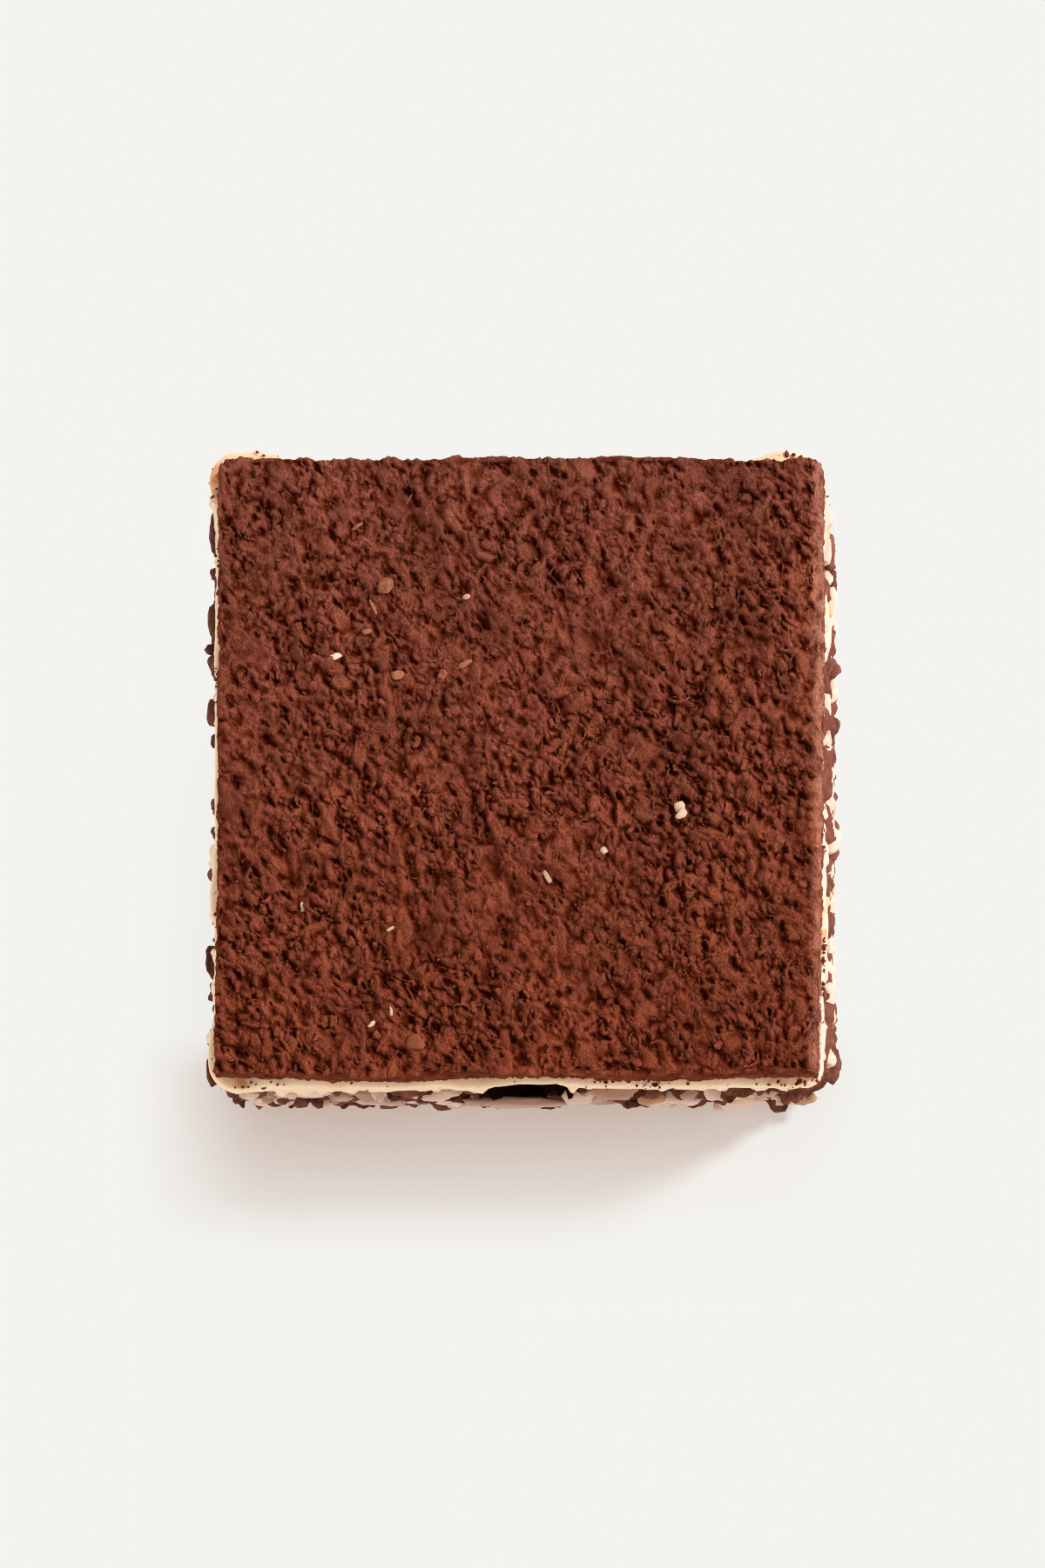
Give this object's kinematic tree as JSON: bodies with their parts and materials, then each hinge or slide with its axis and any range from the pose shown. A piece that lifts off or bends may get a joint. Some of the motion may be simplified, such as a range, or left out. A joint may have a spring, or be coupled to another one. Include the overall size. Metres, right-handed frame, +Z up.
{
  "type": "layered brownie slice",
  "caption": "Square slice of layered brownie: a chunky chocolate base with pale flakes, a cream filling and a crumb top dusted with cocoa.",
  "frame": {"origin": "middle of the slice's underside, on the surface it rests on", "axes": "+Z up through the layers, +X along the slice's width to the right and +Y to its back, as the picture shows it"},
  "size_m": [0.0674, 0.0685, 0.0305],
  "materials": {
    "chunky_base": "chocolate cake with pale flakes and nut pieces, dull with a slight sheen on the chocolate",
    "cream_filling": "soft pale yellow cream, satin",
    "cocoa_top": "crumb dusted with dry cocoa, dead matt"
  },
  "bodies": {
    "root": {"chunky_base": "chunky_base", "cream_filling": "cream_filling", "cocoa_top": "cocoa_top"}
  },
  "joints": []
}
